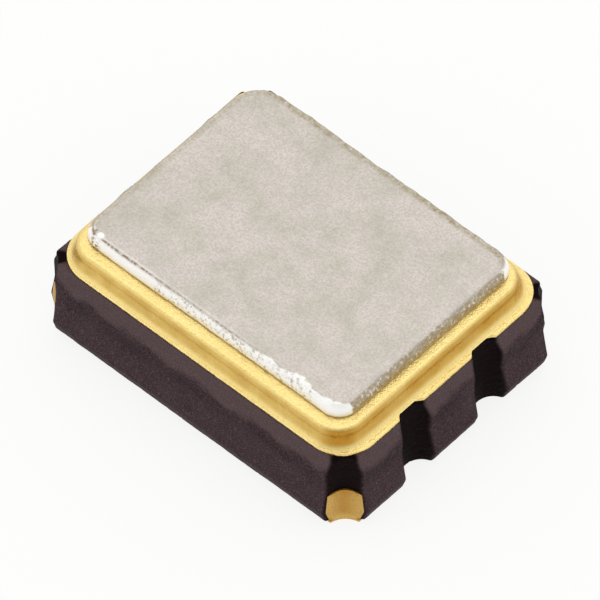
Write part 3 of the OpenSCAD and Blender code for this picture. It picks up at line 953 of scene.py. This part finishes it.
# Depths under the crest between which the bead starts on the side, and distances in from the
# rim between which it ends on the top. The share that the weld's strength takes off the dents
BEAD_START = (0.105, 0.085)
BEAD_END = (0.022, 0.042)
CALM = 0.6
# The flat middle's inset from the rim and its corner radius, on the underside and on top
UNDER_FLAT = (0.1, 0.07)
TOP_FLAT = (0.2, 0.05)
# The depth of what counts as the top, and the share and height of the painted shadow in the seam
# below, which the scorch mask carries
TOP_DEPTH = 0.03
SEAM_SHARE = 0.2
SEAM_HEIGHT = 0.015
# Marks beside the bead: between which places along X they end, then how far outwards from the
# rim and how wide a scorched track and a bright ridge are, and the ridge's share
MARKS_END = (0.1, 0.6)
SCORCH_TRACK = (-0.042, 0.007)
BRIGHT_RIDGE = (-0.058, 0.010)
RIDGE_SHARE = 0.5
# A bright drop of weld: its place from the (-X, -Y) corner, the radii between which it ends,
# and the radius, half width and start of the scorched arc on its outer side
DROP_PLACE = np.array([0.175, 0.063])
DROP_RADII = (0.02, 0.04)
DROP_ARC = (0.055, 0.015)
DROP_ARC_START = (-0.01, 0.03)
# The olive tint's share on the -X side, and the distances in from the rim between which it ends
TINT_SHARE = 0.5
TINT_END = (0.06, 0.1)


def weld_strength(place, normal, half):
    """How brightly the weld shines along the lid's rim, from 0 to 1, for places from the lid's
    middle. The -Y side shines throughout, the +X side hardly, and each corner has a patch
    that falls to nothing over its own reaches along X and Y."""
    front, right = np.clip(-normal[..., 1], 0, 1), np.clip(normal[..., 0], 0, 1)
    patches = [WELD_SIDES[0] * front + WELD_SIDES[1] * right]
    for corner, reach in WELD_PATCHES.items():
        far = np.linalg.norm((place - np.array(corner) * half) / reach, axis=-1)
        patches.append(1 - smooth_step(far, *PATCH_FADE))
    return np.max(patches, axis=0)


def lid_section(lid, bottom, crest, strength, blunt, wander, width, grown):
    """The lid's edge at each column of its rim, as rows of distances outwards, heights and
    shares of the bead: an upright side, a quarter of the superellipse a^(10/7) + b^(10/7) = 1
    for the bead, a slope down to the sheet and a shallow bell-shaped groove."""
    side = np.linspace(bottom + UNDERCUT, crest - lid.bead_height, 4)[:, None] + 0 * wander
    turn = np.radians(np.linspace(0, 90, 18))[1:, None] + 0 * wander
    bead_out = -wander - width * (1 - np.cos(turn) ** BEAD_CURVE)
    bead_z = crest - lid.bead_height * (1 - np.sin(turn) ** BEAD_CURVE)
    inland = np.linspace(0, SLOPE_LENGTH, 26)[1:, None] * (1 - BLUNT_SQUEEZE * blunt)
    slope_out = bead_out[-1:] - inland
    fall = lid.bead_rise * smooth_step(inland, 0, FALL_LENGTH)
    groove = lid.track_depth * bell(slope_out, -lid.track_inset, lid.track_width)
    out = np.concatenate([-wander - UNDERCUT, -wander + 0 * side, bead_out, slope_out])
    z = np.concatenate([0 * wander + bottom, side, bead_z, crest - fall - groove * strength])
    started = smooth_step(side, *(crest - np.array(BEAD_START)))
    inwards = -np.concatenate([bead_out, slope_out]) - wander - grown
    on_bead = np.concatenate([0 * wander, started, 1 - smooth_step(inwards, *BEAD_END)])
    return out, z, on_bead


def build_lid(context):
    """The lid: a flat sheet whose edge is melted round by the seam weld. The bead's width and
    place wander along the edge, and a rough surface's height dents it. The weld is strongest
    near the corners, where it starts, and leaves marks, heat tint and a bright drop."""
    lid = Millimetres(context.scene.osc_lid)
    plan = Plan(context, lid.spacing)
    low, high = box_mm("lid")
    middle, half = footprint("lid")
    bottom, crest = low[2], high[2]
    rim = lift(plan.rounded(half, lid.corner, middle), crest)
    normal = outward(rim[..., :2])
    place = rim[..., :2] - middle
    strength = weld_strength(place, normal, half)
    blunt = bell(np.linalg.norm(place - half * [-1, 1], axis=-1), 0, BLUNT_REACH)
    wander = lid.edge_wander * (0.5 + 0.5 * np.clip(ripple(rim, *RIM_WAVES), -1, 1))
    wander = wander + lid.blunt_corner * blunt
    grown = lid.bead_spread * smooth_step(place[..., 0], *SPREAD_START)
    grown = grown * np.clip(-normal[..., 1], 0, 1) * (1 + SPREAD_WANDER * ripple(rim, *SPREAD_WAVES))
    share = BEAD_SHARES[0] + BEAD_SHARES[1] * strength
    width = lid.bead * share + lid.bead_wander * ripple(rim, *WIDTH_WAVES)
    out, z, on_bead = lid_section(lid, bottom, crest, strength, blunt, wander, width, grown)

    rows = lift(plan.rounded(half, lid.corner, middle) + out[..., None] * normal, z)
    dents = ripple(rows, *DENT_WAVES) * lid.bead_lumps * (1 - CALM * strength)
    rows[..., 2] = np.minimum(rows[..., 2] + dents * on_bead, crest)
    rows[..., :2] -= (np.abs(dents) * on_bead)[..., None] * normal
    flats = [plan.rounded(half - inset, radius, middle) for inset, radius in (UNDER_FLAT, TOP_FLAT)]
    sheet = crest - lid.bead_rise
    under = [lift(plan.point(middle), bottom), lift(flats[0], bottom)]
    inner = [lift(flats[1], sheet), lift(plan.point(middle), sheet)]
    points = np.concatenate(under + [rows] + inner)

    on_top = z > crest - TOP_DEPTH
    # Painted shadow: the seam under the lid's edge is darkened with the scorch colour.
    seam = SEAM_SHARE * (1 - smooth_step(z, bottom, bottom + SEAM_HEIGHT))
    marked = strength * on_top * (1 - smooth_step(place[..., 0], *MARKS_END))
    from_drop = rows[..., :2] - (middle - half + DROP_PLACE)
    far = np.linalg.norm(from_drop, axis=-1)
    hook = bell(far, *DROP_ARC) * smooth_step(-from_drop.sum(axis=-1), *DROP_ARC_START)
    drop = 1 - smooth_step(far, *DROP_RADII)
    back, left = np.clip(normal[..., 1], 0, 1), np.clip(-normal[..., 0], 0, 1)
    tinted = np.maximum(back, TINT_SHARE * left) * on_top
    masks = {
        "bead": on_bead,
        "strength": strength + 0 * out,
        "scorch_and_shade": np.maximum(np.maximum(seam, marked * bell(out, *SCORCH_TRACK)), hook),
        "ridge": np.maximum(RIDGE_SHARE * marked * bell(out, *BRIGHT_RIDGE), drop),
        "tint": tinted * (1 - smooth_step(-out - wander, *TINT_END)),
    }
    pad = np.zeros((2, out.shape[1]))
    masks = {name: np.concatenate([pad, mask, pad]) for name, mask in masks.items()}
    material = named_material("Lid nickel", fill_lid, context.scene.osc_finish)
    make_piece("nickel_lid", [(points, False)], material, "lid", masks)


# ---- Materials ----


def add_node(tree, kind, inputs=None, **settings):
    """Adds a node with settings, and sets or links its inputs by name or number."""
    node = tree.nodes.new(kind)
    node.location = (190 * len(tree.nodes), 0)
    for name, value in settings.items():
        setattr(node, name, value)
    for name, value in (inputs or {}).items():
        if isinstance(value, bpy.types.NodeSocket):
            tree.links.new(value, node.inputs[name])
        else:
            node.inputs[name].default_value = value
    return node


def mix_colour(tree, factor, first, second):
    """Mixes two colours, given as sockets or as three numbers, and gives the result's socket."""
    node = add_node(tree, "ShaderNodeMix", data_type="RGBA")
    for index, value in ((0, factor), (6, first), (7, second)):
        if isinstance(value, bpy.types.NodeSocket):
            tree.links.new(value, node.inputs[index])
        elif index == 0:
            node.inputs[index].default_value = value
        else:
            node.inputs[index].default_value = (*value, 1.0)
    return node.outputs[2]


def maths(tree, operation, first, second, clamp=False):
    """The result of a Math node on two sockets or numbers."""
    node = add_node(
        tree, "ShaderNodeMath", {0: first, 1: second}, operation=operation, use_clamp=clamp
    )
    return node.outputs[0]


def stretched(tree, value, low, high, to_low=0.0, to_high=1.0):
    """Maps a value from one range to another and keeps it there."""
    inputs = {
        "Value": value,
        "From Min": low,
        "From Max": high,
        "To Min": to_low,
        "To Max": to_high,
    }
    return add_node(tree, "ShaderNodeMapRange", inputs).outputs["Result"]


def grain_group():
    """A node group with two patterns from 0 to 1 in the object's own place: fine grain and
    broad mottle, each with its size in millimetres."""
    name = "Grain and mottle"
    if name in bpy.data.node_groups:
        return bpy.data.node_groups[name]
    group = bpy.data.node_groups.new(name, "ShaderNodeTree")
    for socket, size in (("Grain size", 0.01), ("Mottle size", 0.2)):
        made = group.interface.new_socket(socket, in_out="INPUT", socket_type="NodeSocketFloat")
        made.default_value = size
    for socket in ("Grain", "Mottle"):
        group.interface.new_socket(socket, in_out="OUTPUT", socket_type="NodeSocketFloat")
    source = add_node(group, "NodeGroupInput")
    result = add_node(group, "NodeGroupOutput")
    place = add_node(group, "ShaderNodeTexCoord").outputs["Object"]
    for socket, size, detail in (("Grain", "Grain size", 2.0), ("Mottle", "Mottle size", 3.0)):
        scale = maths(group, "DIVIDE", 1 / MM, source.outputs[size])
        noise = add_node(
            group,
            "ShaderNodeTexNoise",
            {"Vector": place, "Scale": scale, "Detail": detail, "Roughness": 0.55},
        )
        spread = stretched(group, noise.outputs["Fac"], 0.3, 0.7)
        group.links.new(spread, result.inputs[socket])
    return group


def add_grain(tree, grain_size, mottle_size):
    """Places the grain group in a material and gives its two outputs."""
    node = add_node(tree, "ShaderNodeGroup", node_tree=grain_group())
    node.inputs["Grain size"].default_value = grain_size
    node.inputs["Mottle size"].default_value = mottle_size
    return node.outputs["Grain"], node.outputs["Mottle"]


def attribute(tree, name):
    """The value of a point attribute."""
    return add_node(tree, "ShaderNodeAttribute", attribute_name=name).outputs["Fac"]


def bump(tree, height, depth, normal=None):
    """A Bump node for a height from 0 to 1 that stands for a depth in millimetres."""
    inputs = {"Height": height, "Distance": depth * MM, "Strength": 1.0}
    if normal is not None:
        inputs["Normal"] = normal
    return add_node(tree, "ShaderNodeBump", inputs).outputs["Normal"]


def named_material(name, fill, *values):
    """The material of this name. fill makes its nodes from the values the first time."""
    if name not in bpy.data.materials:
        material = bpy.data.materials.new(name)
        material.use_nodes = True
        material.node_tree.nodes.clear()
        fill(material.node_tree, *values)
    return bpy.data.materials[name]


def finish_material(tree, **inputs):
    """Ends a material in a Principled shader. An input's name has _ for its spaces."""
    named = {name.replace("_", " "): value for name, value in inputs.items()}
    shader = add_node(tree, "ShaderNodeBsdfPrincipled", named)
    add_node(tree, "ShaderNodeOutputMaterial", {"Surface": shader.outputs["BSDF"]})


def fill_ceramic(tree, finish):
    """Black alumina: broken walls that are speckled and patchy, and a darker fired skin."""
    grain, mottle = add_grain(tree, 0.011, 0.3)
    fired = attribute(tree, "fired")
    walls = mix_colour(tree, mottle, finish.ceramic_dark, finish.ceramic)
    walls = mix_colour(tree, attribute(tree, "pale"), walls, finish.ceramic_pale)
    light = stretched(tree, grain, 0.45, 1.0, 0.0, 0.65)
    speckled = mix_colour(tree, light, walls, finish.ceramic_speck)
    colour = mix_colour(tree, fired, speckled, finish.ceramic_fired_and_shade)
    roughness = stretched(tree, grain, 0, 1, 0.5, 0.7)
    coarse, _ = add_grain(tree, 0.045, 0.5)
    normal = bump(tree, coarse, 0.004)
    normal = bump(tree, grain, 0.0016, normal)
    finish_material(
        tree, Base_Color=colour, Roughness=roughness, Specular_IOR_Level=0.04, Normal=normal
    )


def fill_seal_gold(tree, finish):
    """Gold plating on the smooth metal of the seal, deeper and browner in the hollow where the
    braze climbs the ring, with a soft grain."""
    grain, mottle = add_grain(tree, 0.013, 0.16)
    _, broad = add_grain(tree, 0.013, 0.45)
    hollow = attribute(tree, "hollow")
    open_gold = mix_colour(tree, stretched(tree, broad, 0, 1, 0, 0.45), finish.gold, finish.gold_deep)
    braze = mix_colour(tree, mottle, finish.braze, finish.braze_deep)
    # Painted shade: the hollow mask mixes in the braze colours, and the corner mask a painted dark
    # reflection.
    colour = mix_colour(tree, hollow, open_gold, braze)
    colour = mix_colour(tree, attribute(tree, "brown"), colour, finish.brown_tone_and_shade)
    shade = stretched(tree, grain, 0, 0.6, 0.3, 0)
    colour = mix_colour(tree, shade, colour, finish.braze_deep)
    roughness = stretched(tree, grain, 0, 1, 0.26, 0.38)
    coarse, _ = add_grain(tree, 0.035, 0.16)
    normal = bump(tree, coarse, 0.0018)
    normal = bump(tree, grain, 0.0012, normal)
    finish_material(tree, Base_Color=colour, Metallic=1.0, Roughness=roughness, Normal=normal)


def fill_land_gold(tree, finish):
    """Gold plating on the porous metal of the lands and notches: matte and grainy."""
    grain, mottle = add_grain(tree, 0.014, 0.12)
    colour = mix_colour(tree, mottle, finish.gold_deep, finish.braze)
    colour = mix_colour(tree, attribute(tree, "shade"), colour, finish.brown_tone_and_shade)
    colour = mix_colour(tree, stretched(tree, grain, 0, 0.6, 0.6, 0), colour, finish.gold_pit)
    roughness = stretched(tree, grain, 0, 1, 0.42, 0.6)
    normal = bump(tree, grain, 0.0022)
    finish_material(tree, Base_Color=colour, Metallic=1.0, Roughness=roughness, Normal=normal)


def fill_lid(tree, finish):
    """Matte nickel with a fine grain. Its welded edge is bright where the metal melted, and
    tinted by heat in the seam below and in the groove beside it."""
    grain, mottle = add_grain(tree, 0.017, 0.12)
    speck, blotch = add_grain(tree, 0.03, 0.35)
    names = ("bead", "strength", "scorch_and_shade", "ridge", "tint")
    bead, strength, scorch_and_shade, ridge, tint = (attribute(tree, name) for name in names)
    sheet = mix_colour(tree, mottle, finish.nickel, finish.nickel_green)
    sheet = mix_colour(tree, stretched(tree, blotch, 0.2, 0.8, 0, 0.7), sheet, finish.nickel_pink)
    sheet = mix_colour(tree, stretched(tree, grain, 0, 0.9, 0.47, 0), sheet, finish.nickel_dark)
    olive_tint = mix_colour(tree, stretched(tree, speck, 0.7, 1.0), finish.olive, finish.scorch_and_shade)
    tinted = maths(tree, "MULTIPLY", tint, stretched(tree, speck, 0.1, 0.8, 0.2, 0.8))
    sheet = mix_colour(tree, tinted, sheet, olive_tint)
    dull = mix_colour(tree, speck, finish.brown_weld, finish.dull_weld)
    uneven = maths(tree, "ADD", maths(tree, "MULTIPLY", speck, 0.6), strength)
    broken = stretched(tree, uneven, 0.5, 0.9)
    edge = mix_colour(tree, broken, dull, finish.weld)
    colour = mix_colour(tree, bead, sheet, edge)
    colour = mix_colour(tree, ridge, colour, finish.weld)
    burnt = maths(tree, "MULTIPLY", scorch_and_shade, stretched(tree, speck, 0.35, 0.65))
    colour = mix_colour(tree, burnt, colour, finish.scorch_and_shade)
    bright = maths(tree, "MULTIPLY", bead, broken)
    roughness = stretched(tree, bright, 0, 1, 0.46, 0.28)
    normal = bump(tree, speck, 0.0012)
    normal = bump(tree, grain, 0.0012, normal)
    metallic = stretched(tree, bright, 0, 1, 1.0, 0.3)
    finish_material(
        tree, Base_Color=colour, Metallic=metallic, Roughness=roughness, Normal=normal
    )


# ---- Pieces inside ----


# How many times the grain's size the mottle's is, and how far the roughness varies each way
MOTTLE_RATIO = 12
ROUGH_SPREAD = 0.06
METAL = {"Metallic": 1.0}
GLASS = {"Transmission_Weight": 0.9, "IOR": 1.54}
# Nodes by how their names start, and their materials
INSIDE = {
    "die_pad": "Land gold",
    "bond_finger": "Land gold",
    "crystal_pad": "Land gold",
    "die_adhesive": "Silver paste",
    "crystal_adhesive": "Silver paste",
    "oscillator_die": "Silicon",
    "bond_wire": "Gold wire",
    "quartz_blank": "Quartz",
    "electrode": "Silver film",
}


def fill_inner(tree, first, second, grain_size, depth, roughness, inputs):
    """A finish that mixes two colours by its mottle, with a bump of its grain."""
    grain, mottle = add_grain(tree, grain_size, grain_size * MOTTLE_RATIO)
    colour = mix_colour(tree, mottle, first, second)
    low, high = roughness - ROUGH_SPREAD, roughness + ROUGH_SPREAD
    rough = stretched(tree, grain, 0, 1, low, high)
    normal = bump(tree, grain, depth)
    finish_material(tree, Base_Color=colour, Roughness=rough, Normal=normal, **inputs)


def finish_inside(context):
    """Gives the CAD nodes that stay, all of them hidden under the lid, their finishes. Each is
    two colours, the grain's size and the bump's depth in millimetres, the roughness and the
    shader's other values."""
    finish = context.scene.osc_finish
    gold = (finish.gold, finish.gold_deep)
    inner = {
        "Silicon": ((0.16, 0.17, 0.20), (0.22, 0.22, 0.26), 0.05, 0.0003, 0.2, METAL),
        "Silver paste": ((0.50, 0.50, 0.48), (0.62, 0.61, 0.58), 0.01, 0.003, 0.55, METAL),
        "Gold wire": (*gold, 0.01, 0.0003, 0.22, METAL),
        "Quartz": ((0.86, 0.90, 0.92), (0.93, 0.95, 0.96), 0.02, 0.0004, 0.18, GLASS),
        "Silver film": ((0.83, 0.83, 0.82), (0.90, 0.89, 0.87), 0.015, 0.0004, 0.2, METAL),
    }
    materials = {name: named_material(name, fill_inner, *values) for name, values in inner.items()}
    materials["Land gold"] = named_material("Land gold", fill_land_gold, finish)
    for node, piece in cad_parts.items():
        for start, name in INSIDE.items():
            if node.startswith(start):
                for place in piece.material_slots:
                    place.material = materials[name]


# ---- Stage ----


# Soft boxes: name, azimuth and elevation in degrees, size in millimetres and the setting that
# holds its level. Their distance in millimetres
SOFTBOXES = (
    ("High left softbox", -105, 64, 8, "high_softbox"),
    ("High back softbox", 194, 62, 8, "high_softbox"),
    ("Left softbox", -32, 30, 16, "left_softbox"),
)
SOFTBOX_DISTANCE = 30
# The cosines to the camera's first direction at which the darker light starts and is full
CAMERA_SIDE = (0.6, 0.98)
# Half the floor's size and its gap under the package, in millimetres, and its two colours
FLOOR_REACH = 60
FLOOR_DROP = 0.001
FLOOR_MATTE = (0.96, 0.96, 0.955, 1)
FLOOR_GLOW = (1, 1, 0.995, 1)


def towards(azimuth, elevation):
    """The direction from the package to a place at this turn and height, in radians."""
    flat = math.cos(elevation)
    return Vector(
        (math.sin(azimuth) * flat, -math.cos(azimuth) * flat, math.sin(elevation))
    )


def add_camera(stage):
    """The camera: a long lens that looks down on the package."""
    lens = bpy.data.cameras.new("Camera")
    lens.lens = lens.sensor_width * stage.distance / stage.field
    lens.clip_start = stage.distance / 100
    lens.clip_end = stage.distance * 4
    camera = bpy.data.objects.new("Camera", lens)
    back = towards(stage.azimuth, stage.elevation)
    camera.location = Vector((0, 0, stage.target_height)) + back * stage.distance
    camera.rotation_euler = back.to_track_quat("Z", "Y").to_euler()
    bpy.context.scene.collection.objects.link(camera)
    bpy.context.scene.camera = camera


def add_softbox(name, azimuth, elevation, size, radiance):
    """A square soft box that faces the package, with its power worked out from the radiance
    that it shows: four times the radiance times its area."""
    lamp = bpy.data.lights.new(name, "AREA")
    lamp.size = size * MM
    lamp.energy = 4 * radiance * lamp.size**2
    softbox = bpy.data.objects.new(name, lamp)
    out = towards(math.radians(azimuth), math.radians(elevation))
    softbox.location = out * SOFTBOX_DISTANCE * MM
    softbox.rotation_euler = out.to_track_quat("Z", "Y").to_euler()
    softbox.visible_camera = False
    bpy.context.scene.collection.objects.link(softbox)


def add_floor(stage):
    """A pale floor that keeps a soft shadow. Seen directly or in metal or glass it glows by
    a share, and from below it can be looked through."""
    reach, drop = FLOOR_REACH * MM, -FLOOR_DROP * MM
    corners = [(x * reach, y * reach, drop) for x, y in ((-1, -1), (1, -1), (1, 1), (-1, 1))]
    mesh = bpy.data.meshes.new("floor")
    mesh.from_pydata(corners, [], [(0, 1, 2, 3)])
    floor = bpy.data.objects.new("floor", mesh)
    bpy.context.scene.collection.objects.link(floor)
    mesh.materials.append(named_material("Pale floor", fill_floor, stage.floor_glow))


def fill_floor(tree, glow_share):
    """Matte with a share of glow where it is seen directly or in metal or glass, and clear
    from below."""
    rays = add_node(tree, "ShaderNodeLightPath")
    seen = maths(tree, "ADD", rays.outputs["Is Camera Ray"], rays.outputs["Is Glossy Ray"])
    seen = maths(tree, "ADD", seen, rays.outputs["Is Transmission Ray"], clamp=True)
    share = maths(tree, "MULTIPLY", seen, glow_share)
    matte = add_node(tree, "ShaderNodeBsdfDiffuse", {"Color": FLOOR_MATTE})
    glow = add_node(tree, "ShaderNodeEmission", {"Color": FLOOR_GLOW, "Strength": 1.0})
    pale = add_node(
        tree, "ShaderNodeMixShader", {0: share, 1: matte.outputs[0], 2: glow.outputs[0]}
    )
    clear = add_node(tree, "ShaderNodeBsdfTransparent")
    below = add_node(tree, "ShaderNodeNewGeometry").outputs["Backfacing"]
    sides = add_node(
        tree, "ShaderNodeMixShader", {0: below, 1: pale.outputs[0], 2: clear.outputs[0]}
    )
    add_node(tree, "ShaderNodeOutputMaterial", {"Surface": sides.outputs[0]})


def add_room(stage):
    """The pale room: even light from all round, darker round the camera's own place."""
    world = bpy.data.worlds.new("Room")
    world.use_nodes = True
    tree = world.node_tree
    tree.nodes.clear()
    heading = add_node(tree, "ShaderNodeTexCoord").outputs["Generated"]
    back = towards(stage.azimuth, stage.elevation)
    near = add_node(
        tree, "ShaderNodeVectorMath", {0: heading, 1: tuple(back)}, operation="DOT_PRODUCT"
    )
    start, full = CAMERA_SIDE
    share = add_node(
        tree,
        "ShaderNodeMapRange",
        {"Value": near.outputs["Value"], "From Min": start, "From Max": full},
        interpolation_type="SMOOTHSTEP",
    )
    light, dark = stage.surroundings, stage.camera_side
    colour = mix_colour(tree, share.outputs["Result"], (light,) * 3, (dark,) * 3)
    background = add_node(tree, "ShaderNodeBackground", {"Color": colour})
    add_node(tree, "ShaderNodeOutputWorld", {"Surface": background.outputs[0]})
    bpy.context.scene.world = world


def build_stage(context):
    """Camera, floor, room and soft boxes."""
    stage = context.scene.osc_stage
    add_camera(stage)
    add_floor(stage)
    add_room(stage)
    for name, azimuth, elevation, size, setting in SOFTBOXES:
        add_softbox(name, azimuth, elevation, size, getattr(stage, setting))
    context.scene.view_settings.view_transform = "Standard"


# ---- Operators ----


def make_operator(name, label, words, build):
    """An operator class that runs one build function and raises what goes wrong."""

    def execute(self, context):
        build(context)
        return {"FINISHED"}

    members = {
        "bl_idname": f"oscillator.{name}",
        "bl_label": label,
        "__doc__": words,
        "execute": execute,
    }
    return type(f"OSCILLATOR_OT_{name}", (Operator,), members)


OPERATORS = [
    make_operator("stage", "Add stage", "Add the camera, the floor and the lights", build_stage),
    make_operator("base", "Build base", "Build the ceramic base", build_base),
    make_operator("terminals", "Build terminals", "Build the solder terminals", build_terminals),
    make_operator("test_lands", "Build test lands", "Build the test lands", build_test_lands),
    make_operator("band", "Build band", "Build the metal band on the ceramic", build_band),
    make_operator("braze", "Build braze", "Build the braze under the ring", build_braze),
    make_operator("ring", "Build ring", "Build the ring that carries the lid", build_ring),
    make_operator("lid", "Build lid", "Build the lid and its welded edge", build_lid),
    make_operator("inside", "Finish inside", "Finish the chip and the crystal", finish_inside),
]


class OSCILLATOR_PT_sidebar(Panel):
    """Lists the steps and the settings of the oscillator"""

    bl_idname = "OSCILLATOR_PT_sidebar"
    bl_label = "Crystal oscillator"
    bl_space_type = "VIEW_3D"
    bl_region_type = "UI"
    bl_category = "Oscillator"

    def draw(self, context):
        for operator in OPERATORS:
            self.layout.operator(operator.bl_idname)
        for name, group in SETTINGS.items():
            box = self.layout.box()
            box.label(text=group.__doc__)
            for prop in group.__annotations__:
                box.prop(getattr(context.scene, name), prop)


def register():
    """Registers the settings, the operators and the panel."""
    for name, group in SETTINGS.items():
        bpy.utils.register_class(group)
        setattr(bpy.types.Scene, name, PointerProperty(type=group))
    for operator in OPERATORS:
        bpy.utils.register_class(operator)
    bpy.utils.register_class(OSCILLATOR_PT_sidebar)


def unregister():
    """Takes everything that register added away again."""
    bpy.utils.unregister_class(OSCILLATOR_PT_sidebar)
    for operator in reversed(OPERATORS):
        bpy.utils.unregister_class(operator)
    for name, group in reversed(SETTINGS.items()):
        delattr(bpy.types.Scene, name)
        bpy.utils.unregister_class(group)


def main():
    """Builds everything in order and writes the size of the CAD model and of this one."""
    register()
    bpy.ops.oscillator.stage()
    bpy.ops.oscillator.base()
    bpy.ops.oscillator.terminals()
    bpy.ops.oscillator.test_lands()
    bpy.ops.oscillator.band()
    bpy.ops.oscillator.braze()
    bpy.ops.oscillator.ring()
    bpy.ops.oscillator.lid()
    bpy.ops.oscillator.inside()


if __name__ == "__main__":
    main()
